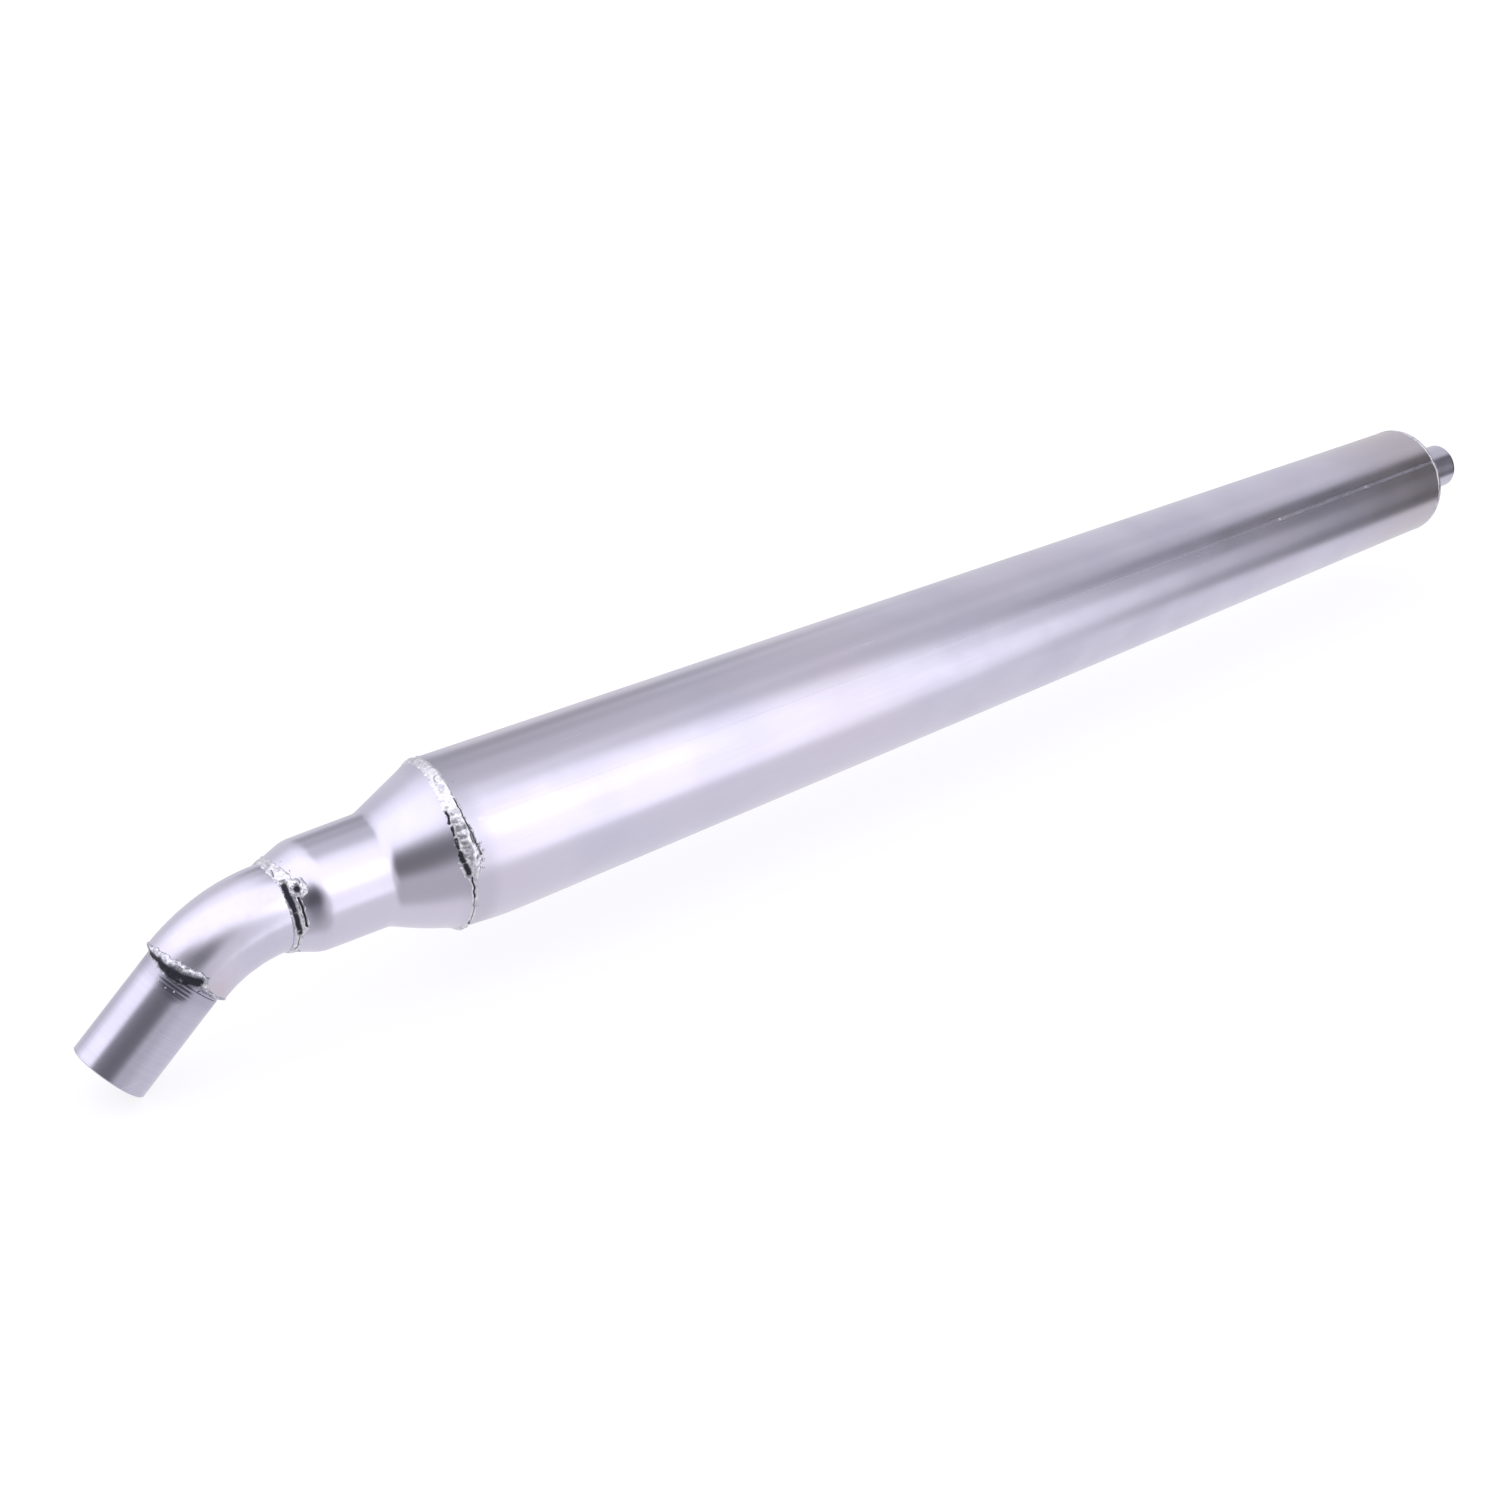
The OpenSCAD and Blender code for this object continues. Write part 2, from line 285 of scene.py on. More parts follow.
def closedMesh(name, form, material):
    bmesh.ops.recalc_face_normals(form, faces=form.faces)
    for face in form.faces:
        face.smooth = True
    for edge in form.edges:
        edge.smooth = edge.calc_face_angle(0) < creaseAngle
    data = bpy.data.meshes.new(name)
    form.to_mesh(data)
    form.free()
    data.materials.append(material)
    piece = bpy.data.objects.new(name, data)
    bpy.context.collection.objects.link(piece)
    return piece


def spaced(points, step):  # the same outline with no run longer than step
    full = []
    for start, end in zip(points, points[1:] + points[:1]):
        runs = max(1, math.ceil(math.dist(start, end) / step))
        for run in range(runs):
            share = run / runs
            full.append((start[0] + (end[0] - start[0]) * share, start[1] + (end[1] - start[1]) * share))
    return full


def rounded(before, corner, after, radius, steps=8):  # an arc in place of a corner
    into = (Vector(corner) - Vector(before)).normalized()
    out = (Vector(after) - Vector(corner)).normalized()
    turn = into.angle(out)
    side = 1 if into.x * out.y - into.y * out.x > 0 else -1
    start = Vector(corner) - into * radius * math.tan(turn / 2)
    centre = start + Vector((-into.y, into.x)) * side * radius
    arc = []
    for step in range(steps + 1):
        spoke = Matrix.Rotation(side * turn * step / steps, 2) @ (start - centre)
        arc.append(tuple(centre + spoke))
    return arc


def ringPoint(place, along, radius, angle):  # the angle runs from the upper side towards -Y
    spot = Vector((along, -radius * math.sin(angle), radius * math.cos(angle)))
    return place @ spot * mm


def joinRings(form, rings, closed=True):  # faces between each ring and the next, back to the first if closed
    followers = rings[1:] + rings[:1] if closed else rings[1:]
    for ring, following in zip(rings, followers):
        for spot in range(len(ring)):
            form.faces.new((ring[spot - 1], ring[spot], following[spot], following[spot - 1]))


def revolve(form, outline, steps, place, shape=None):  # an outline of (along, radius), turned about local X
    rings = []
    for turn in range(steps):
        angle = 2 * math.pi * turn / steps
        ring = []
        for along, radius in outline:
            if shape:
                along, radius = shape(along, radius, angle)
            ring.append(form.verts.new(ringPoint(place, along, radius, angle)))
        rings.append(ring)
    joinRings(form, rings)


def turned(name, outline, steps, place, material, shape=None):
    form = bmesh.new()
    revolve(form, outline, steps, place, shape)
    return closedMesh(name, form, material)


seedSlant = 2.7  # a seed moves the noise this many times further across than along


def bumpiness(along, radius, angle, size, seed=0.0):  # smooth noise on a turned surface, -1 to 1
    spot = Vector((along, radius * math.sin(angle), radius * math.cos(angle))) / size
    return noise.noise(spot + Vector((seed, seedSlant * seed, 0)))


def between(stops, angle):  # a value that changes round the ring, from (degrees, value) stops
    degrees = (math.degrees(angle) + 180) % 360 - 180
    for (start, first), (end, second) in zip(stops, stops[1:]):
        if degrees <= end:
            share = max(0.0, (degrees - start) / (end - start))
            share = share * share * (3 - 2 * share)
            return first + (second - first) * share
    return stops[-1][1]


def finish(piece, slot, *nodes):
    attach(piece, "root")
    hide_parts(*nodes)


# steel and its marks, with noise scales per metre

def newMaterial(name):
    material = bpy.data.materials.new(name)
    material.use_nodes = True
    material.node_tree.nodes.clear()
    return material, Wire(material.node_tree)


def noiseNode(wire, place, values):
    return wire.node("TexNoise", values={"Vector": place, **values})


def steel(name, look, marks=None):
    # grain and rub: noise scales along X, Y and Z, so that a low figure draws the marks out along that way
    material, wire = newMaterial(name)
    place = wire.node("TexCoord", output="Object")
    grainPlace = wire.vector("MULTIPLY", place, look["grain"])
    if "axis" in look:  # rings about an axis, which change along it and only slowly round it
        along = wire.vector("DOT_PRODUCT", place, look["axis"], "Value")
        grainPlace = wire.node("CombineXYZ", values={"X": along * look["grain"][0]})
        drift = wire.vector("MULTIPLY", place, look["drift"])
        grainPlace = wire.vector("ADD", grainPlace, drift)
    rubPlace = wire.vector("MULTIPLY", place, look["rub"])
    grain = noiseNode(wire, grainPlace, look["grainNoise"])
    cloud = noiseNode(wire, place, look["cloudNoise"])
    haze = noiseNode(wire, place, look["hazeNoise"])
    speck = noiseNode(wire, place, look["speckNoise"])
    rub = noiseNode(wire, rubPlace, look["rubNoise"])
    scuff = rub.step(*look["rubEdge"]) * haze.step(*look["scuffEdge"])
    colour = cloud.step(*look["cloudEdge"]).blend(look["colour"], look["shade"])
    colour = haze.step(*look["hazeEdge"]).blend(colour, look["blush"])
    colour = (grain.step(*look["grainEdge"]) * look["streak"]).blend(colour, look["dark"])
    colour = (scuff * look["scuff"]).blend(colour, look["bright"])
    rough = look["rough"] + (grain - 0.5) * look["grainRough"] + (cloud - 0.5) * look["cloudRough"]
    rough = rough + scuff * look["scuffRough"]
    height = grain * look["grainDepth"] + speck * look["speckDepth"]
    metallic = 1.0
    if marks:
        colour, rough, metallic = marks(wire, place, colour, rough)
    bump = wire.node("Bump", values={"Strength": 1.0, "Distance": mm, "Height": height})
    body = wire.node("BsdfPrincipled", values={
        "Base Color": colour, "Roughness": rough, "Metallic": metallic, "Normal": bump,
    })
    wire.node("OutputMaterial", values={"Surface": body})
    return material


def spotMask(wire, place, centre, inner, outer):  # 1 near a point given in millimetres
    away = wire.vector("DISTANCE", place, Vector(centre) * mm, "Value")
    return away.step(outer * mm, inner * mm)


steelLook = {
    "colour": (0.64, 0.623, 0.75, 1),
    "shade": (0.595, 0.578, 0.71, 1),
    "blush": (0.655, 0.622, 0.735, 1),
    "dark": (0.48, 0.47, 0.57, 1),
    "bright": (0.82, 0.80, 0.88, 1),
    "grain": (26, 1300, 1300),
    "rub": (16, 240, 240),
    "drift": (40, 40, 40),
    "streak": 0.06,
    "scuff": 0.2,
    "rough": 0.25,
    "grainRough": 0.05,
    "cloudRough": 0.09,
    "scuffRough": 0.08,
    "grainDepth": 0.002,
    "speckDepth": 0.003,
    "grainNoise": {"Scale": 1.0, "Detail": 5.0, "Roughness": 0.62},
    "cloudNoise": {"Scale": 34.0, "Detail": 3.0, "Distortion": 0.4},
    "hazeNoise": {"Scale": 11.0, "Detail": 2.0},
    "speckNoise": {"Scale": 900.0, "Detail": 3.0},
    "rubNoise": {"Scale": 1.0, "Detail": 4.0, "Roughness": 0.7},
    # where each noise starts to show and where it is full
    "grainEdge": (0.35, 0.7),
    "cloudEdge": (0.3, 0.72),
    "hazeEdge": (0.42, 0.68),
    "rubEdge": (0.66, 0.74),
    "scuffEdge": (0.46, 0.62),
}


# a tint starts and is full at these distances from its joint, in millimetres
shellTint = {
    "tail": {"starts": 85, "full": 8, "share": 0.72, "colour": (0.50, 0.46, 0.485, 1)},
    "weld": {"starts": 9, "full": 1, "share": 0.35, "colour": (0.46, 0.45, 0.53, 1), "rough": 0.2},
}


def shellMarks(wire, place, colour, rough):
    # darker and browner towards the tail end, and a dull zone beside the front weld
    x = wire.node("SeparateXYZ", values={"Vector": place})
    tail, weld = shellTint["tail"], shellTint["weld"]
    shellEnd = shellX + shellLen
    tailDarkening = x.step((shellEnd - tail["starts"]) * mm, (shellEnd - tail["full"]) * mm) * tail["share"]
    colour = tailDarkening.blend(colour, tail["colour"])
    weldHaze = x.step((shellX + weld["starts"]) * mm, (shellX + weld["full"]) * mm) * weld["share"]
    colour = weldHaze.blend(colour, weld["colour"])
    return colour, rough + weldHaze * weld["rough"], 1.0


shellSteel = steel("satin_steel", steelLook, shellMarks)


elbowTint = {
    "weld": {"starts": 9, "full": 1.5, "share": 0.3, "colour": (0.58, 0.55, 0.62, 1), "rough": 0.1},
    "straw": {"ahead": 4, "below": 3, "inner": 0, "outer": 13, "share": 0.4, "colour": (0.66, 0.54, 0.57, 1)},
}


def elbowMarks(wire, place, colour, rough):
    # a dull zone beside the spigot's weld, and a straw heat tint on the elbow's side
    weld, straw = elbowTint["weld"], elbowTint["straw"]
    near = wire.vector("DOT_PRODUCT", place, spigotWay, "Value")
    tint = near.step((spigotLen + weld["starts"]) * mm, (spigotLen + weld["full"]) * mm)
    colour = (tint * weld["share"]).blend(colour, weld["colour"])
    side = spigotWay * spigotLen + Vector((straw["ahead"], -elbowR, -straw["below"]))
    tinted = spotMask(wire, place, side, straw["inner"], straw["outer"])
    colour = (tinted * straw["share"]).blend(colour, straw["colour"])
    return colour, rough + tint * weld["rough"], 1.0


elbowSteel = steel("elbow_steel", {**steelLook, "grain": (420, 420, 420), "streak": 0.1}, elbowMarks)


coneTint = {
    "weld": {"starts": 9, "full": 2, "share": 0.3, "colour": (0.47, 0.46, 0.54, 1), "rough": 0.15},
    # a dark reflection painted on the shoulder
    "smudge": {"ahead": 8.2, "side": 17.0, "up": 6.5, "squash": 0.5, "inner": 1.2, "outer": 5.2,
               "share": 0.75, "colour": (0.20, 0.20, 0.27, 1)},
}


def coneMarks(wire, place, colour, rough):
    # a dull zone beside the weld with the shell, and a dark reflection painted on the shoulder, taller than
    # wide
    weld, smudge = coneTint["weld"], coneTint["smudge"]
    x = wire.node("SeparateXYZ", values={"Vector": place})
    weldHaze = x.step((shellX - weld["starts"]) * mm, (shellX - weld["full"]) * mm) * weld["share"]
    colour = weldHaze.blend(colour, weld["colour"])
    squashed = wire.vector("MULTIPLY", place, (1, 1, smudge["squash"]))
    centre = (coneX + smudge["ahead"], -smudge["side"], (axisZ + smudge["up"]) * smudge["squash"])
    shoulderReflectionMask = spotMask(wire, squashed, centre, smudge["inner"], smudge["outer"])
    colour = (shoulderReflectionMask * smudge["share"]).blend(colour, smudge["colour"])
    return colour, rough + weldHaze * weld["rough"], 1.0


coneSteel = steel("spun_steel", {
    **steelLook, "axis": (1, 0, 0), "grain": (2400, 0, 0), "streak": 0.05, "rub": (240, 40, 40),
}, coneMarks)


def onSpigot(along, degrees):  # a point of the spigot's wall
    return ringPoint(onSpigotAxis, along, spigotR, math.radians(degrees)) / mm


spigotTint = {
    "ringed": {"starts": 9, "full": 3, "share": 0.25, "colour": (0.20, 0.20, 0.26, 1), "rough": 0.06},
    "soot": {"share": 0.92, "colour": (0.05, 0.05, 0.075, 1), "rough": 0.15, "edge": (0.1, 1)},
    "thick": {"back": 2.5, "turn": 50, "inner": 2.5, "outer": 8.5},
    "thin": {"back": 4.5, "turn": 66, "inner": 1, "outer": 6, "share": 0.5},
    "lineScale": 1500,
    "lineEdge": (0.3, 0.62),
}


def sootSpot(wire, place, spot):
    centre = onSpigot(spigotLen - spot["back"], spot["turn"])
    return spotMask(wire, place, centre, spot["inner"], spot["outer"])


def spigotMarks(wire, place, colour, rough):
    # a darker turned zone below the weld, and soot broken up by the turning marks
    ring, soot, thin = spigotTint["ringed"], spigotTint["soot"], spigotTint["thin"]
    near = wire.vector("DOT_PRODUCT", place, spigotWay, "Value")
    ringed = near.step((spigotLen - ring["starts"]) * mm, (spigotLen - ring["full"]) * mm)
    colour = (ringed * ring["share"]).blend(colour, ring["colour"])
    sooty = sootSpot(wire, place, spigotTint["thick"])
    sooty = sooty + sootSpot(wire, place, thin) * thin["share"]
    linePlace = wire.node("CombineXYZ", values={"X": near * spigotTint["lineScale"]})
    line = noiseNode(wire, linePlace, {"Scale": 1.0})
    sooty = sooty.step(*soot["edge"]) * line.step(*spigotTint["lineEdge"])
    colour = (sooty * soot["share"]).blend(colour, soot["colour"])
    return colour, rough + ringed * ring["rough"] + sooty * soot["rough"], 1.0


spigotSteel = steel("turned_steel", {
    **steelLook, "colour": (0.60, 0.582, 0.72, 1), "shade": (0.52, 0.505, 0.63, 1),
    "blush": (0.57, 0.55, 0.67, 1), "axis": tuple(spigotWay), "grain": (3200, 0, 0), "streak": 0.5,
    "grainDepth": 0.012,
}, spigotMarks)
capSteel = steel("pressed_steel", {**steelLook, "grain": (500, 500, 500), "streak": 0.12})
tailSteel = steel("tail_steel", {
    **steelLook, "colour": (0.56, 0.545, 0.63, 1), "axis": (1, 0, 0), "grain": (1800, 0, 0), "streak": 0.3,
})
seamSteel = steel("seam_ground", {**steelLook, "grain": (60, 900, 900), "rough": 0.28})


def weldSteel(name, look):
    # the mesh's own value darkens pits, grooves, undercuts and the bead's feet: soot, and painted shade in
    # these hollows
    material, wire = newMaterial(name)
    place = wire.node("TexCoord", output="Object")
    soot = wire.node("Attribute", {"attribute_name": "soot"}, output="Fac")
    fleck = noiseNode(wire, place, look["fleckNoise"])
    patch = noiseNode(wire, place, look["patchNoise"])
    colour = fleck.step(*look["fleckEdge"]).blend(look["colour"], look["bright"])
    colour = (patch.step(*look["blotchEdge"]) * look["blotch"]).blend(colour, look["dark"])
    colour = (soot.step(*look["sootEdge"]) * patch.step(*look["sootPatch"])).blend(colour, look["soot"])
    rough = look["rough"] + fleck * look["fleckRough"] + soot * look["sootRough"]
    metallic = 1 - soot.step(*look["dullEdge"]) * look["dull"]
    height = fleck * look["fleckDepth"] + patch * look["patchDepth"]
    bump = wire.node("Bump", values={"Strength": 1.0, "Distance": mm, "Height": height})
    body = wire.node("BsdfPrincipled", values={
        "Base Color": colour, "Roughness": rough, "Metallic": metallic, "Normal": bump,
    })
    wire.node("OutputMaterial", values={"Surface": body})
    return material


weldLook = {
    "colour": (0.62, 0.61, 0.68, 1),
    "bright": (0.84, 0.83, 0.88, 1),
    "dark": (0.30, 0.30, 0.37, 1),
    # the colour of soot and of the painted shade in the bead's hollows
    "soot": (0.018, 0.019, 0.03, 1),
    "blotch": 0.5,
    "rough": 0.24,
    "fleckNoise": {"Scale": 1100.0, "Detail": 4.0, "Roughness": 0.7},
    "patchNoise": {"Scale": 420.0, "Detail": 3.0},
    "fleckEdge": (0.42, 0.62),
    "blotchEdge": (0.5, 0.66),
    "sootEdge": (0.12, 0.75),
    "sootPatch": (0.1, 0.42),
    "fleckRough": 0.2,
    "sootRough": 0.3,
    "dullEdge": (0.3, 0.9),
    "dull": 0.55,
    "fleckDepth": 0.05,
    "patchDepth": 0.08,
}
weldBead = weldSteel("weld_bead", weldLook)
weldDark = weldSteel("weld_dark", {**weldLook, "colour": (0.40, 0.40, 0.48, 1), "blotch": 0.8})
print("steel made")

# weld beads

strokeFall = 1.4  # how steeply a stroke's edge falls away
tiny = 1e-6


def strokeReach(mark, angle, across, radius):  # 1 on a stroke drawn on the bead, 0 away from it
    degrees = (math.degrees(angle) + 180) % 360 - 180
    arc = math.radians(1) * radius
    start = Vector((mark["from"][0] * arc, mark["from"][1]))
    end = Vector((mark["to"][0] * arc, mark["to"][1]))
    spot = Vector((degrees * arc, across))
    run = end - start
    share = min(1.0, max(0.0, (spot - start).dot(run) / max(run.length_squared, tiny)))
    away = (spot - start - run * share).length / mark["width"]
    return math.exp(-away * away * strokeFall)


def square(angle):  # the shift of a joint that is cut square
    return 0.0


# how far a bead strays from an even one; each "Size" is that of the noise's patches, in millimetres
beadShape = {
    "stray": 0.45,
    "straySize": 3.5,
    "wanderSize": 2.4,
    "fray": 0.22,
    "fraySize": 1.3,
    "frayStretch": 3,
    "lapBow": 1.3,
    "rippleLevel": 0.6,
    # darker towards the bead's feet: painted shade where the bead meets the wall
    "footSoot": 0.12,
    "crown": 0.8,
    "calm": 0.7,
    "fineShare": 0.25,
    "fineSize": 0.4,
    "footRise": 3,
    "buried": (0.8, 0, -0.8),
    "bury": 0.7,
    "seeds": {"wander": 31, "fray": 5, "coarse": 9, "fine": 17},
}


def weldRing(name, look, place, wall, material, slot, node, shift=square):
    # wall(x, angle) is the radius of the steel under the bead, with x from the joint, which lies
    # shift(angle) back; the section runs from foot to foot and closes below the wall
    seed = {use: look["seed"] + extra for use, extra in beadShape["seeds"].items()}
    form = bmesh.new()
    soot = form.verts.layers.float.new("soot")
    across = [step / look["rows"] * 2 - 1 for step in range(look["rows"] + 1)]
    rings = []
    for turn in range(look["steps"]):
        angle = 2 * math.pi * turn / look["steps"]
        half = between(look["half"], angle)
        height = between(look["height"], angle)
        base = wall(0, angle)
        back = shift(angle)
        stray = bumpiness(0, base, angle, beadShape["straySize"], look["seed"])
        centre = between(look["centre"], angle) + beadShape["stray"] * stray
        wander = look["wander"] * bumpiness(0, base, angle, beadShape["wanderSize"], seed["wander"])
        ring = []
        for share in across:
            along = share * beadShape["frayStretch"]
            fray = bumpiness(along, base, angle, beadShape["fraySize"], seed["fray"])
            x = centre + share * half * (1 + beadShape["fray"] * fray)
            arc = math.sqrt(max(0.0, 1 - share * share))
            lap = look["laps"] * angle + beadShape["lapBow"] * share * share
            ripple = 1 + look["ripple"] * (abs(math.sin(lap)) - beadShape["rippleLevel"])
            # painted shade at the feet and in the stroke grooves, with soot, kept on the mesh
            dark = beadShape["footSoot"] * (1 - arc)
            cut = 0
            for mark in look["strokes"]:
                reach = strokeReach(mark, angle, x + wander, base)
                cut = max(cut, mark["depth"] * reach)
                dark = max(dark, mark["soot"] * reach)
            coarse = bumpiness(x, base, angle, look["lump"], seed["coarse"])
            fine = bumpiness(x, base, angle, look["lump"] * beadShape["fineSize"], seed["fine"])
            rough = arc * look["rough"] * (1 - beadShape["calm"] * dark)
            rough *= coarse + beadShape["fineShare"] * fine
            lift = height * (arc ** beadShape["crown"] * ripple + rough)
            lift = max(lift - cut, look["least"] * min(1, beadShape["footRise"] * arc))
            top = min(wall(x, angle) + lift, look["most"])
            vert = form.verts.new(ringPoint(place, x - back, top, angle))
            vert[soot] = min(1.0, dark)
            ring.append(vert)
        for share in beadShape["buried"]:
            x = centre + share * half
            ring.append(form.verts.new(ringPoint(place, x - back, wall(x, angle) - beadShape["bury"], angle)))
        rings.append(ring)
    joinRings(form, rings)
    for degrees, x, size in look.get("spatter", []):
        angle = math.radians(degrees)
        spatterDrop(form, soot, place, x - shift(angle), wall(x, angle), angle, size)
    piece = closedMesh(name, form, material)
    finish(piece, slot, node)
    print(name, "laid")
    return piece


dropLook = {"rise": 0.15, "flat": 0.35, "bulge": 0.25, "bulgeSize": 0.5, "turnSeed": 7, "soot": 0.15}


def spatterDrop(form, soot, place, x, radius, angle, size):  # a flattened drop, part of it in the wall
    centre = ringPoint(place, x, radius + size * dropLook["rise"], angle)
    made = bmesh.ops.create_icosphere(form, subdivisions=2, radius=size * mm)
    outward = (ringPoint(place, x, radius + 1, angle) - ringPoint(place, x, radius, angle)).normalized()
    for vert in made["verts"]:
        seed = Vector((angle * dropLook["turnSeed"], x, 0))
        bulge = 1 + dropLook["bulge"] * noise.noise(vert.co / (dropLook["bulgeSize"] * mm) + seed)
        spot = vert.co * bulge
        spot -= outward * spot.dot(outward) * dropLook["flat"]
        vert[soot] = dropLook["soot"]
        vert.co = centre + spot


# a stroke cuts a groove into the bead and darkens it: soot, and painted shade for a groove deeper than the
# bead allows
def stroke(fromSpot, toSpot, width, depth=0.3, soot=1.0):  # spots are (degrees, millimetres along the axis)
    return {"from": fromSpot, "to": toSpot, "width": width, "depth": depth, "soot": soot}


coneLook = {
    "corners": [(0, 16), (11.5, 20.2), (39, 20.5), (coneLen, frontR)],
    "shoulderRound": 14,
    "throatRound": 9,
    "shoulderSteps": 10,
    "throatSteps": 8,
    "wall": 1.5,
    "steps": 220,
    "run": 1.2,
    "wave": 0.04,
    "waveSize": 17,
    "waveSeed": 8,
    "skew": 2.4,  # the welded end isn't cut quite square
    "skewTurn": 110,
    "skewFloor": 0.34,
    "tuck": 1.3,
    "tuckTurn": 150,
    "tuckReach": 10,
}
skewTurn = math.radians(coneLook["skewTurn"])


def endSkew(angle):
    return coneLook["skew"] * (math.cos(angle - skewTurn) + coneLook["skewFloor"])


def jointTuck(distance, angle):  # the joint is drawn in a little on its lower side
    side = max(0.0, math.cos(angle - math.radians(coneLook["tuckTurn"])))
    return coneLook["tuck"] * side * math.exp(-(distance / coneLook["tuckReach"]) ** 2)


def shellRadius(x):  # x from the shell's front
    return frontR + (rearR - frontR) * x / shellLen


def shellWall(x, angle):  # both walls at the cone's weld
    tuck = jointTuck(x, angle)
    if x > 0:
        return shellRadius(x) - tuck
    throat = coneLook["corners"][2]
    return frontR + (frontR - throat[1]) / (coneLen - throat[0]) * x - tuck


coneWeldLook = {
    "steps": 900,
    "rows": 22,
    "laps": 34,
    "ripple": 0.2,
    "lump": 2.8,
    "rough": 0.5,
    "wander": 0.5,
    "seed": 3.0,
    "least": 0.12,
    "most": frontR + 1.65,
    "half": [(-180, 1.5), (-60, 1.5), (-10, 1.9), (20, 2.5), (45, 2.9), (60, 3.5), (72, 4.1), (80, 3.0),
             (89, 1.0), (130, 0.8), (180, 1.5)],
    "height": [(-180, 0.7), (-60, 0.36), (5, 0.3), (26, 0.6), (60, 0.85), (76, 0.85), (89, 0.35), (130, 0.3),
               (150, 0.6), (180, 0.7)],
    "centre": [(-180, 0), (-40, -0.4), (0, -1.2), (30, -2.0), (45, -1.9), (60, -1.2), (72, -0.5), (80, -1.2),
               (92, -0.6), (140, -0.2), (180, 0)],
    "strokes": [
        stroke((32, 0.0), (50, 0.7), 0.28, 0.5, 0.95),
        stroke((50, 0.7), (62, 1.9), 0.28, 0.5, 0.95),
        stroke((62, 1.9), (71, 3.0), 0.3, 0.5, 0.95),
        stroke((38, -4.0), (46, -4.3), 0.5, 0.5),
        stroke((49, -4.0), (54, -4.4), 0.65, 0.6),
        stroke((57, -4.2), (63, -4.0), 0.8, 0.7),
        stroke((66, -4.1), (72, -3.5), 1.2, 0.9),
        stroke((75, -3.1), (81, -2.3), 1.2, 0.9),
        stroke((84, -1.4), (100, -0.8), 0.4, 0.2, 0.9),
        stroke((100, -0.8), (128, -0.3), 0.26, 0.15, 0.6),
        stroke((10, -1.4), (14, -2.2), 0.35, 0.3, 0.5),
        stroke((129, -0.3), (131, -0.1), 0.7, 0.3),
        stroke((-120, -0.8), (-96, -1.0), 0.4, 0.4, 0.8),
        stroke((-60, 0.9), (-40, 0.6), 0.3, 0.3, 0.7),
    ],
    "spatter": [(64, 3.7, 0.45), (69, 4.2, 0.6), (75, 3.4, 0.7), (80, 3.2, 0.5), (20, 3.0, 0.35),
                (36, 4.0, 0.3), (-30, 2.4, 0.5), (-75, -2.8, 0.5), (110, 1.5, 0.3), (160, 2.5, 0.5),
                (-150, 2.2, 0.45)],
}


weldRing("cone_weld_bead", coneWeldLook, Matrix.Translation((shellX, 0, axisZ)), shellWall,
         weldBead, "weld_bead", "cone_weld", endSkew)


def shoulderWall(x, angle):  # elbow on one side, shoulder on the other
    if x < 0:
        return elbowR
    rise = (coneLook["corners"][1][1] - coneLook["corners"][0][1]) / coneLook["corners"][1][0]
    return coneLook["corners"][0][1] + rise * x


elbowWeldLook = {
    "steps": 620,
    "rows": 22,
    "laps": 22,
    "ripple": 0.22,
    "lump": 1.9,
    "rough": 0.45,
    "wander": 0.3,
    "seed": 11.0,
    "least": 0.1,
    "most": 19.5,
    "half": [(-180, 1.5), (-30, 1.6), (35, 2.4), (90, 2.5), (105, 1.2), (180, 1.4)],
    "height": [(-180, 0.4), (-30, 0.3), (6, 0.35), (35, 0.9), (90, 0.8), (105, 0.22), (180, 0.4)],
    "centre": [(-180, 0.3), (0, 0.9), (45, 2.2), (90, 2.6), (110, 1.2), (180, 0.3)],
    "strokes": [
        stroke((38, 0.8), (62, 1.1), 1.35, 1.0),
        stroke((62, 1.1), (98, 1.7), 1.1, 1.0),
        stroke((56, 3.6), (90, 4.0), 0.5, 0.6),
        stroke((98, 1.7), (132, 0.9), 0.3, 0.2, 0.6),
        stroke((10, 0.4), (20, 0.0), 0.4, 0.3, 0.6),
        stroke((-70, 0.6), (-50, 0.9), 0.4, 0.3, 0.8),
        stroke((170, 0.4), (176, 0.8), 0.5, 0.3, 0.8),
    ],
    "spatter": [(6, 4.5, 0.4), (24, 5.0, 0.35), (-40, 3.6, 0.45), (140, 3.0, 0.4), (-120, -2.4, 0.4)],
}
weldRing("elbow_weld_bead", elbowWeldLook, Matrix.Translation((coneX, 0, axisZ)), shoulderWall,
         weldBead, "weld_bead", "elbow_weld")


spigotStep = 1.2  # length over which the bead's wall rises from the spigot to the elbow


def spigotWall(x, angle):  # spigot below, elbow's end above
    return spigotR + (elbowR - spigotR) * min(1.0, max(0.0, (x + spigotStep / 2) / spigotStep))


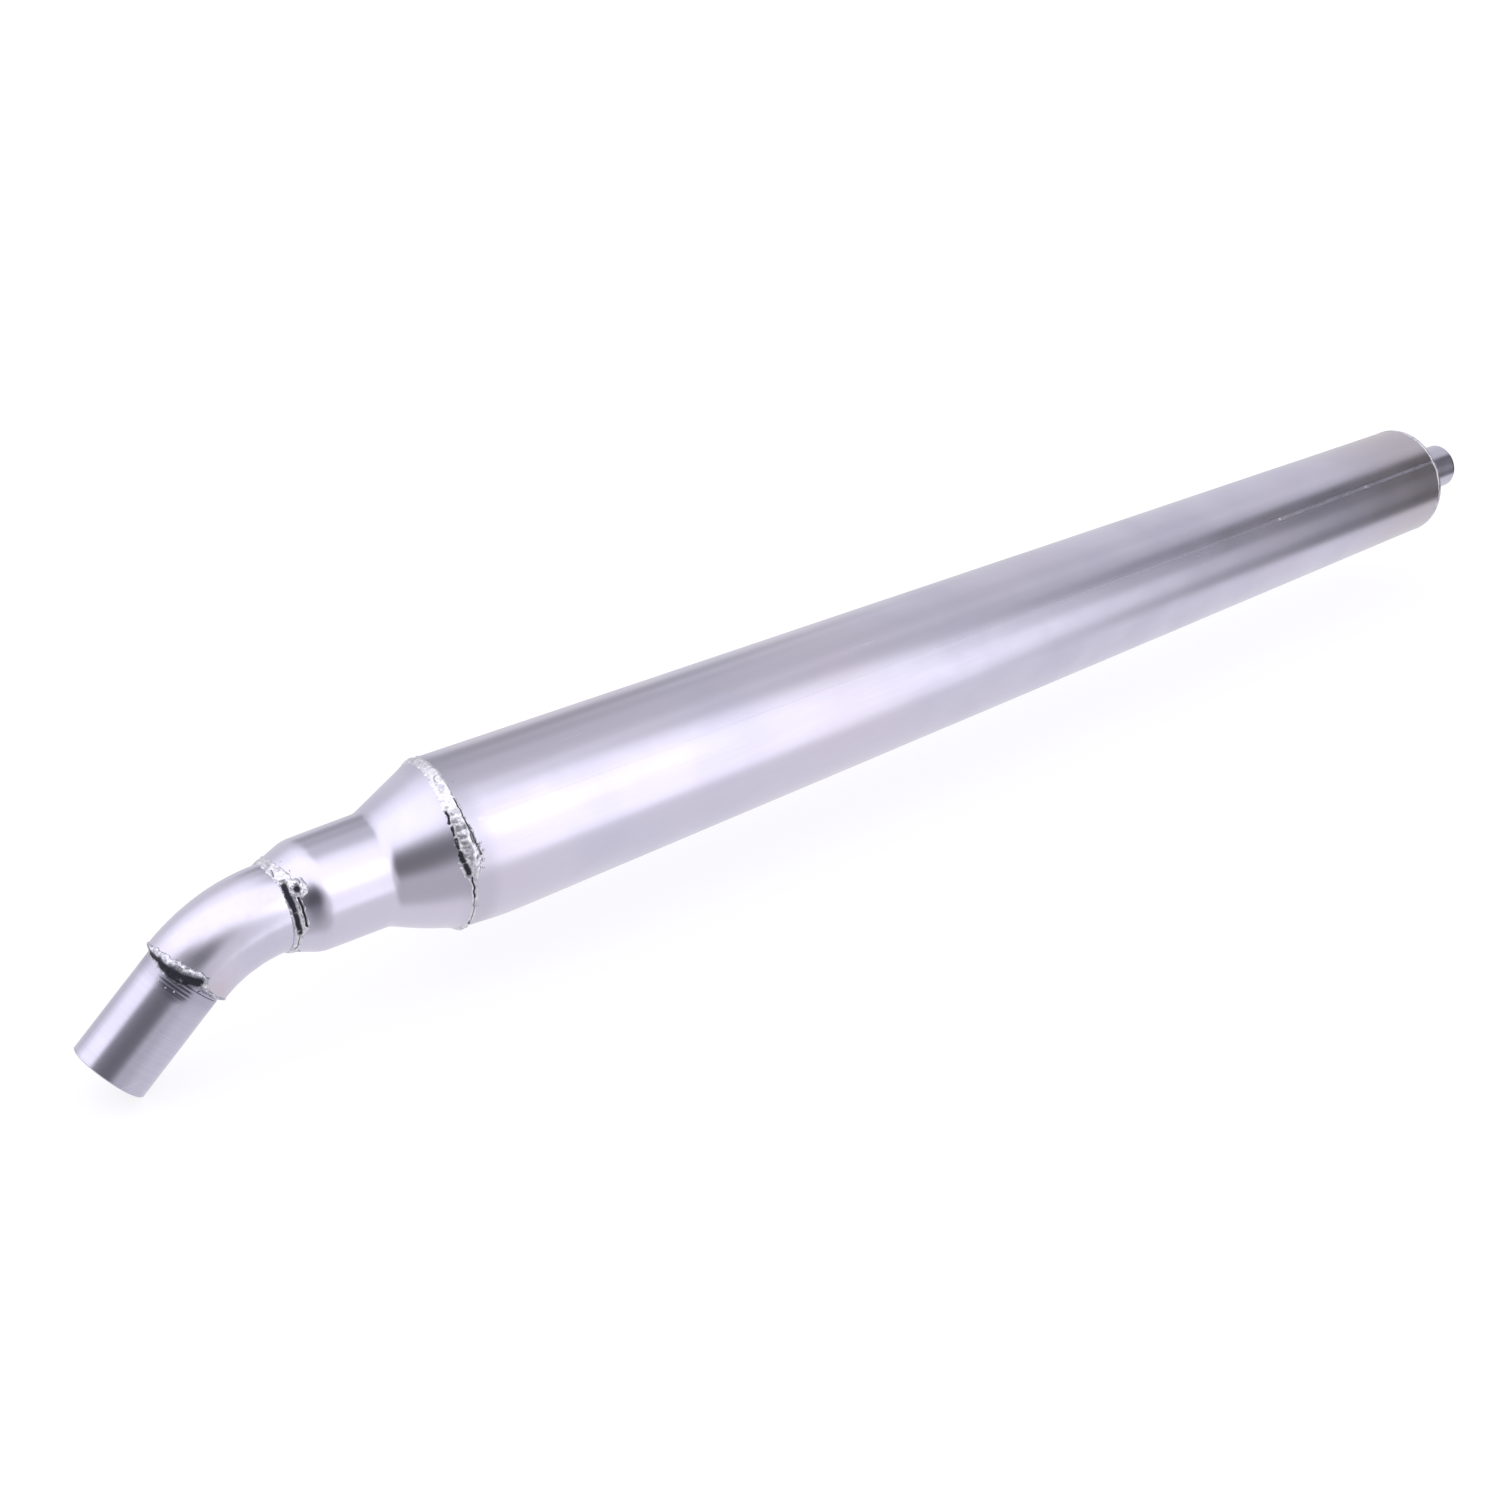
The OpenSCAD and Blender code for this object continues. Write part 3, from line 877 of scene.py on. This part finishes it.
spigotWeldLook = {
    "steps": 520,
    "rows": 24,
    "laps": 20,
    "ripple": 0.2,
    "lump": 1.9,
    "rough": 0.4,
    "wander": 0.5,
    "seed": 23.0,
    "least": 0.1,
    "most": 16.9,
    "half": [(-180, 0.9), (-30, 1.0), (-12, 1.7), (20, 2.8), (45, 3.4), (62, 3.3), (78, 2.5), (88, 1.0),
             (110, 0.8), (180, 0.9)],
    "height": [(-180, 0.35), (-30, 0.38), (0, 0.7), (45, 1.0), (72, 0.85), (90, 0.3), (180, 0.3)],
    "centre": [(-180, 0), (-10, 0.2), (20, 0.3), (45, 0.6), (62, 1.5), (78, 2.6), (90, 0.5), (180, 0)],
    "strokes": [
        stroke((-12, -0.2), (20, -0.3), 1.1, 0.4),
        stroke((18, -0.5), (38, -0.8), 1.9, 0.4),
        stroke((38, -0.9), (58, -0.2), 2.9, 0.4),
        stroke((58, 0.4), (72, 1.9), 2.2, 0.4),
        stroke((88, 0.2), (130, -0.2), 0.3, 0.1, 0.5),
        stroke((-120, 0.2), (-90, 0.0), 0.6, 0.2, 0.9),
    ],
    "spatter": [(82, 2.8, 0.45), (88, 1.7, 0.5), (85, -0.8, 0.4), (80, 5.0, 0.35), (30, -5.2, 0.3),
                (44, -5.8, 0.3), (56, -5.2, 0.35), (-60, -3, 0.35)],
}
weldRing("spigot_weld_bead", spigotWeldLook, onSpigotAxis @ Matrix.Translation((spigotLen, 0, 0)), spigotWall,
         weldDark, "weld_dark", "spigot_weld")


def capWall(x, angle):
    return rearR


capWeldLook = {
    "steps": 420,
    "rows": 10,
    "laps": 60,
    "ripple": 0.25,
    "lump": 1.0,
    "rough": 0.35,
    "wander": 0.2,
    "least": 0.02,
    "seed": 31.0,
    "most": rearR + 0.75,
    "half": [(-180, 0.7), (180, 0.7)],
    "height": [(-180, 0.14), (40, 0.16), (180, 0.14)],
    "centre": [(-180, -0.1), (180, -0.1)],
    "strokes": [
        stroke((84, -0.4), (112, -0.4), 0.2, 0.1, 0.6),
        stroke((-60, -0.4), (-20, -0.4), 0.2, 0.1, 0.6),
    ],
}
weldRing("cap_weld_bead", capWeldLook, Matrix.Translation((shellX + shellLen, 0, axisZ)), capWall,
         weldBead, "weld_bead", "cap_weld")


tailFoot = {"reach": 0.35, "slope": 2.2}


def tailWall(x, angle):  # the pipe's wall, with the cap's face as a steep rise before it
    return tailR + max(0.0, tailFoot["reach"] - x) * tailFoot["slope"]


tailWeldLook = {
    "steps": 300,
    "rows": 12,
    "laps": 26,
    "ripple": 0.3,
    "lump": 1.0,
    "rough": 0.4,
    "wander": 0.2,
    "least": 0.05,
    "seed": 41.0,
    "most": tailR + 1.7,
    "half": [(-180, 1.0), (180, 1.0)],
    "height": [(-180, 0.55), (180, 0.55)],
    "centre": [(-180, 0.75), (180, 0.75)],
    "strokes": [
        stroke((20, 0.8), (50, 0.6), 0.3, 0.2, 0.8),
        stroke((130, 0.8), (170, 0.6), 0.3, 0.2, 0.7),
    ],
}
weldRing("tail_weld_bead", tailWeldLook, Matrix.Translation((shellX + shellLen, 0, axisZ)), tailWall,
         weldBead, "weld_bead", "tail_weld")

# the lump where the elbow's weld was stopped, with the crater that the arc left
stopLook = {
    "ahead": 5.2,
    "angle": 46,
    "radius": 17.5,
    "size": 3.4,
    "flat": 0.42,
    "crater": 1.9,
    "craterDepth": 1.5,
    "craterLean": (-0.55, 0, -0.25),
    "craterFall": 1.6,
    # how dark the crater is made: soot, and painted shade in its hollow
    "craterSoot": 1.4,
    "lumps": [(0.16, 2.2), (0.07, 6)],  # how far they stand out, and how many fit in
    "divisions": 5,
}


def weldStop():
    form = bmesh.new()
    soot = form.verts.layers.float.new("soot")
    place = Matrix.Translation((coneX, 0, axisZ))
    angle = math.radians(stopLook["angle"])
    heart = ringPoint(place, stopLook["ahead"], stopLook["radius"], angle)
    outward = (ringPoint(place, stopLook["ahead"], stopLook["radius"] + 1, angle) - heart).normalized()
    craterWay = (outward + Vector(stopLook["craterLean"])).normalized()
    made = bmesh.ops.create_icosphere(form, subdivisions=stopLook["divisions"], radius=1)
    for vert in made["verts"]:
        way = vert.co.normalized()
        reach = 1
        for swell, count in stopLook["lumps"]:
            reach += swell * noise.noise(way * count)
        away = (way - craterWay).length * stopLook["size"] / stopLook["crater"]
        hole = math.exp(-away ** 2 * stopLook["craterFall"])
        reach -= hole * stopLook["craterDepth"] / stopLook["size"]
        # painted shade and soot in the crater
        vert[soot] = min(1.0, hole * stopLook["craterSoot"])
        spot = way * reach * stopLook["size"]
        spot -= outward * spot.dot(outward) * stopLook["flat"]
        vert.co = heart + spot * mm
    piece = closedMesh("weld_stop_lump", form, weldBead)
    finish(piece, "weld_bead", "weld_stop")


weldStop()

# tubes and shells

shellLook = {
    "wall": 1.2,
    "edge": 0.25,
    "steps": 240,
    "run": 2.5,
    "wave": 0.04,
    "waveSize": 38,
    "waveSeed": 1.5,
    "waveStart": 20,
    "skewFade": 26,
}


def shellWave(x, radius, angle):
    wave = bumpiness(x, radius, angle, shellLook["waveSize"], shellLook["waveSeed"])
    return wave * shellLook["wave"] * min(1.0, x / shellLook["waveStart"])


def makeShell():
    wall = shellLook["wall"]
    edge = shellLook["edge"]
    outline = spaced([
        (0, frontR - wall), (0, frontR - edge), (edge, frontR), (shellLen, rearR), (shellLen, rearR - wall),
    ], shellLook["run"])

    def shape(x, radius, angle):
        fade = max(0.0, 1 - x / shellLook["skewFade"])
        radius += shellWave(x, radius, angle) - jointTuck(x, angle)
        return shellX + x - endSkew(angle) * fade * fade, radius

    piece = turned("shell_skin", outline, shellLook["steps"], onShellAxis, shellSteel, shape)
    finish(piece, "satin_steel", "shell")


seamLook = {
    "start": 3.0,
    "run": 0.8,
    "rows": 8,
    "width": 1.7,
    "widthShare": 0.8,
    "widthSwell": 0.35,
    "widthNoise": (8, 6),  # size and seed
    "proud": 0.012,
    "endProud": 0.1,
    "endShare": 0.6,
    "endSwell": 0.6,
    "endNoise": (5, 2),
    "endStarts": 120,
    "endGrows": 30,
    "sink": 0.01,
    "buried": (0.9, -0.9),
    "bury": 0.5,
    "drops": [(49, 0.75), (108, 0.6), (20, 0.4)],  # millimetres before the end, and size
    "dropSink": 0.5,
}


def makeSeam():  # a ground bead: nearly flush, standing up a little and lumpy near the tail
    form = bmesh.new()
    soot = form.verts.layers.float.new("soot")
    rows = seamLook["rows"]
    steps = int((shellLen - seamLook["start"]) / seamLook["run"])
    rings = []
    for step in range(steps + 1):
        x = seamLook["start"] + (shellLen - seamLook["start"]) * step / steps
        wall = shellRadius(x)
        late = min(1.0, max(0.0, (x - shellLen + seamLook["endStarts"]) / seamLook["endGrows"]))
        late *= seamLook["endShare"] + seamLook["endSwell"] * bumpiness(x, 0, 0, *seamLook["endNoise"])
        proud = seamLook["proud"] + (seamLook["endProud"] - seamLook["proud"]) * late
        swell = seamLook["widthSwell"] * bumpiness(x, 0, 0, *seamLook["widthNoise"])
        width = seamLook["width"] * (seamLook["widthShare"] + swell)
        ring = []
        for row in range(rows + 1):
            share = row / rows * 2 - 1
            turn = seamAngle + share * width / 2 / wall
            lift = proud * (1 - share * share) - seamLook["sink"] + shellWave(x, wall, turn)
            ring.append(form.verts.new(ringPoint(onShellAxis, shellX + x, wall + lift, turn)))
        for share in seamLook["buried"]:
            turn = seamAngle + share * width / 2 / wall
            ring.append(form.verts.new(ringPoint(onShellAxis, shellX + x, wall - seamLook["bury"], turn)))
        rings.append(ring)
    joinRings(form, rings, closed=False)
    form.faces.new(rings[0])
    form.faces.new(rings[-1])
    for distance, size in seamLook["drops"]:
        x = shellLen - distance
        radius = shellRadius(x) - size * seamLook["dropSink"]
        spatterDrop(form, soot, onShellAxis, shellX + x, radius, seamAngle, size)
    piece = closedMesh("shell_seam_bead", form, seamSteel)
    finish(piece, "seam_ground", "shell_seam")


def makeCone():
    low, shoulder, throat, end = coneLook["corners"]
    outer = [low]
    outer += rounded(low, shoulder, throat, coneLook["shoulderRound"], coneLook["shoulderSteps"])
    outer += rounded(shoulder, throat, end, coneLook["throatRound"], coneLook["throatSteps"])
    outer.append(end)
    inner = [(x, radius - coneLook["wall"]) for x, radius in reversed(outer)]
    outline = spaced(outer + inner, coneLook["run"])

    def shape(x, radius, angle):
        share = max(0.0, (x - shoulder[0]) / (end[0] - shoulder[0]))
        wave = bumpiness(x, radius, angle, coneLook["waveSize"], coneLook["waveSeed"]) * coneLook["wave"]
        radius += wave * (1 - share) - jointTuck(coneLen - x, angle)
        return coneX + x - endSkew(angle) * share, radius

    piece = turned("inlet_cone_shell", outline, coneLook["steps"], onShellAxis, coneSteel, shape)
    finish(piece, "spun_steel", "inlet_cone")


elbowLook = {
    "steps": 120,
    "bends": 60,
    "lip": 1.3,
    "ripple": 0.05,  # on the inner side of the bend
    "rippleCount": 26,
    "wave": 0.05,
    "waveLength": 36,
    "waveRadius": 16,
    "waveSize": 9,
    "waveSeed": 4,
}


def makeElbow():  # a tube bent about a centre below the cone's front end
    form = bmesh.new()
    outline = []
    for bend in range(elbowLook["bends"] + 1):
        share = bend / elbowLook["bends"]
        fromEnd = share * bendAngle * bendR
        lip = max(0.0, 1 - fromEnd / elbowLook["lip"])
        outline.append((share, elbowR - elbowLook["lip"] * (1 - math.sqrt(1 - lip * lip))))
    outline += [(share, spigotBoreR) for share, radius in reversed(outline)]
    rings = []
    for turn in range(elbowLook["steps"]):
        angle = 2 * math.pi * turn / elbowLook["steps"]
        ring = []
        for share, radius in outline:
            lean = -bendAngle * (1 - share)
            side = max(0.0, -math.cos(angle))
            ripple = elbowLook["ripple"] * side * math.sin(share * elbowLook["rippleCount"])
            along = share * elbowLook["waveLength"]
            near = elbowLook["waveRadius"]
            wave = bumpiness(along, near, angle, elbowLook["waveSize"], elbowLook["waveSeed"])
            rough = radius + (ripple + elbowLook["wave"] * wave) * math.sin(math.pi * share)
            spot = Vector((0, -rough * math.sin(angle), bendR + rough * math.cos(angle)))
            ring.append(form.verts.new((onBend @ Matrix.Rotation(lean, 4, "Y") @ spot) * mm))
        rings.append(ring)
    joinRings(form, rings)
    piece = closedMesh("elbow_tube", form, elbowSteel)
    finish(piece, "satin_steel", "elbow")


spigotLook = {
    "grip": 5.5,
    "chamfer": 0.35,
    "seat": 0.3,
    "seatStarts": 1.5,
    "seatFull": 1.2,
    "steps": 160,
    "run": 0.28,
    "smoothEnd": 1,
    "groove": 0.045,
    "pitch": 0.55,
    "grooveZone": 9.0,
    "grooveCentre": 7,  # millimetres before the weld
    "chatter": 0.03,
    "chatterSize": 1.1,
    "chatterSeed": 3,
}


def makeSpigot():
    total = spigotLen + spigotLook["grip"]
    edge = spigotLook["chamfer"]
    seatR = spigotR - spigotLook["seat"]
    outline = spaced([
        (edge, spigotBoreR), (0, spigotBoreR + edge), (0, spigotR - edge), (edge, spigotR),
        (spigotLen - spigotLook["seatStarts"], spigotR), (spigotLen - spigotLook["seatFull"], seatR),
        (total, seatR), (total, spigotBoreR),
    ], spigotLook["run"])

    def shape(x, radius, angle):
        if radius < seatR or x < spigotLook["smoothEnd"]:
            return x, radius
        zone = max(0.0, 1 - abs(x - spigotLen + spigotLook["grooveCentre"]) / spigotLook["grooveZone"])
        cut = (0.5 + 0.5 * math.sin(x * 2 * math.pi / spigotLook["pitch"])) * zone
        chatter = bumpiness(x, radius, angle, spigotLook["chatterSize"], spigotLook["chatterSeed"])
        chatter *= spigotLook["chatter"] * zone
        return x, radius - spigotLook["groove"] * cut + min(0.0, chatter)

    piece = turned("inlet_spigot_tube", outline, spigotLook["steps"], onSpigotAxis, spigotSteel, shape)
    finish(piece, "turned_steel", "inlet_spigot")


capLook = {
    "thick": 1.5,
    "rim": 1.2,
    "rimWidth": 2.6,
    "foot": 4.8,
    "flange": 9,
    "seat": 1.25,
    "overlap": 0.25,  # the hole is this much smaller than the pipe, and its edge lies in the pipe's seat
    "edgeRound": 0.5,
    "rimRound": 0.9,
    "footRound": 1.2,
    "roundSteps": 6,
    "dish": 0.25,
    "steps": 200,
    "run": 1.0,
}


def makeCap():
    outer = rearR
    rim = capLook["rim"]
    rimFoot = (rim, outer - capLook["rimWidth"])
    face = outer - capLook["foot"]
    seat = outer - capLook["seat"]
    holeR = tailR - capLook["overlap"]
    steps = capLook["roundSteps"]
    outline = [(-capLook["thick"], holeR), (-capLook["thick"], seat - capLook["thick"])]
    outline += [(-capLook["flange"], seat - capLook["thick"]), (-capLook["flange"], seat)]
    outline += [(0, seat), (0, outer)]
    outline += rounded((0, outer), (rim, outer), rimFoot, capLook["edgeRound"], steps)
    outline += rounded((rim, outer), rimFoot, (0, face), capLook["rimRound"], steps)
    outline += rounded(rimFoot, (0, face), (0, tailR), capLook["footRound"], steps)
    outline.append((0, holeR))

    def shape(x, radius, angle):
        share = max(0.0, min(1.0, (radius - tailR) / (face - tailR)))
        dish = capLook["dish"] * math.sin(math.pi * share)
        return shellX + shellLen + x - (dish if x >= 0 and radius < face else 0), radius

    outline = spaced(outline, capLook["run"])
    piece = turned("rear_cap_dish", outline, capLook["steps"], onShellAxis, capSteel, shape)
    finish(piece, "pressed_steel", "rear_cap")


tailLook = {
    "seat": 0.3,
    "seatEnds": 2.8,
    "seatRise": 0.3,
    "edgeRound": 0.3,
    "roundSteps": 4,
    "wave": 0.02,
    "waveSize": 6,
    "waveSeed": 2,
    "steps": 120,
    "run": 0.8,
}


def makeTailPipe():
    start = shellX + shellLen - capLook["thick"]
    seatEnd = start + tailLook["seatEnds"]
    seatR = tailR - tailLook["seat"]
    edge, steps = tailLook["edgeRound"], tailLook["roundSteps"]
    outline = [(start, tailBoreR), (start, seatR), (seatEnd, seatR), (seatEnd + tailLook["seatRise"], tailR)]
    outline += rounded((start, tailR), (tailEnd, tailR), (tailEnd, tailBoreR), edge, steps)
    outline += rounded((tailEnd, tailR), (tailEnd, tailBoreR), (start, tailBoreR), edge, steps)

    def shape(x, radius, angle):  # the wave only takes steel away, so that the pipe stays inside its size
        wave = bumpiness(x, radius, angle, tailLook["waveSize"], tailLook["waveSeed"])
        return x, radius + tailLook["wave"] * (wave - 1)

    outline = spaced(outline, tailLook["run"])
    piece = turned("tail_pipe_tube", outline, tailLook["steps"], onShellAxis, tailSteel, shape)
    finish(piece, "tail_steel", "tail_pipe")


makeShell()
makeSeam()
makeCone()
makeElbow()
makeSpigot()
makeCap()
makeTailPipe()
print("tubes and shells made")

# inner pieces keep their solids and get their own finishes

innerSteel = steel("inner_steel", {
    **steelLook, "colour": (0.50, 0.48, 0.46, 1), "shade": (0.40, 0.38, 0.36, 1),
    "blush": (0.46, 0.40, 0.34, 1), "dark": (0.20, 0.18, 0.17, 1), "streak": 0.4, "rough": 0.42,
    "grain": (600, 600, 600),
})
coreWeldSteel = weldSteel("core_weld_steel", {**weldLook, "colour": (0.34, 0.33, 0.36, 1), "blotch": 0.9})


screenLook = {
    "pitch": 1.0,
    "wiresRound": 120,
    # near black between the wires: painted shade in holes that the mesh doesn't cut
    "gap": (0.05, 0.05, 0.055, 1),
    "wire": (0.56, 0.56, 0.58, 1),
    "edge": (0.55, 0.9),
    "rough": 0.35,
    "gapRough": 0.3,
    "depth": 0.2,
}


def screenWire():  # crossing wires: one set along the tube, one round it
    material, wire = newMaterial("screen_wire")
    place = wire.node("TexCoord", output="Object")
    spot = wire.node("SeparateXYZ", values={"Vector": wire.vector("SUBTRACT", place, (0, 0, axisZ * mm))})
    y = Wire(wire.tree, spot.socket.node.outputs["Y"])
    z = Wire(wire.tree, spot.socket.node.outputs["Z"])
    turn = wire.maths("ARCTAN2", y, z)
    along = wire.maths("SINE", spot * (2 * math.pi / (screenLook["pitch"] * mm)))
    around = wire.maths("SINE", turn * (screenLook["wiresRound"] / 2))
    cloth = wire.maths("MAXIMUM", wire.maths("ABSOLUTE", along), wire.maths("ABSOLUTE", around))
    # painted shade between the wires
    colour = cloth.step(*screenLook["edge"]).blend(screenLook["gap"], screenLook["wire"])
    rough = screenLook["rough"] + (1 - cloth) * screenLook["gapRough"]
    bump = wire.node("Bump", values={"Strength": 1.0, "Distance": mm, "Height": cloth * screenLook["depth"]})
    body = wire.node("BsdfPrincipled", values={
        "Base Color": colour, "Roughness": rough, "Metallic": 1.0, "Normal": bump,
    })
    wire.node("OutputMaterial", values={"Surface": body})
    return material


woolLook = {
    "deep": (0.70, 0.62, 0.40, 1),
    "bright": (0.93, 0.89, 0.76, 1),
    "stain": (0.62, 0.52, 0.33, 1),
    "stainShare": 0.4,
    "fibreWay": (1800, 300, 300),
    "fibreNoise": {"Scale": 1.0, "Detail": 6.0, "Distortion": 2.0},
    "swirlNoise": {"Scale": 60.0, "Detail": 2.0, "Distortion": 1.5},
    "fibreEdge": (0.3, 0.7),
    "swirlEdge": (0.5, 0.7),
    "rough": 0.9,
    "fibreRough": 0.1,
    "fibreDepth": 0.9,
    "swirlDepth": 1.5,
}


def glassWool():
    look = woolLook
    material, wire = newMaterial("glass_wool")
    place = wire.node("TexCoord", output="Object")
    swirl = noiseNode(wire, place, look["swirlNoise"])
    fibre = noiseNode(wire, wire.vector("MULTIPLY", place, look["fibreWay"]), look["fibreNoise"])
    colour = fibre.step(*look["fibreEdge"]).blend(look["deep"], look["bright"])
    colour = (swirl.step(*look["swirlEdge"]) * look["stainShare"]).blend(colour, look["stain"])
    rough = look["rough"] - fibre * look["fibreRough"]
    height = fibre * look["fibreDepth"] + swirl * look["swirlDepth"]
    bump = wire.node("Bump", values={"Strength": 1.0, "Distance": mm, "Height": height})
    body = wire.node("BsdfPrincipled", values={"Base Color": colour, "Roughness": rough, "Normal": bump})
    wire.node("OutputMaterial", values={"Surface": body})
    return material


screenSteel = screenWire()
wool = glassWool()
innerFinishes = {
    "reverse_cone": innerSteel, "perforated_core": innerSteel, "front_bulkhead": innerSteel,
    "centre_ring": innerSteel, "core_socket": innerSteel, "core_weld": coreWeldSteel,
    "packing_screen": screenSteel, "packing_front": wool, "packing_rear": wool,
}
for node, material in innerFinishes.items():
    cadPiece = frame["nodes"][node]
    cadPiece.data.materials.clear()
    cadPiece.data.materials.append(material)
print("inner pieces finished")
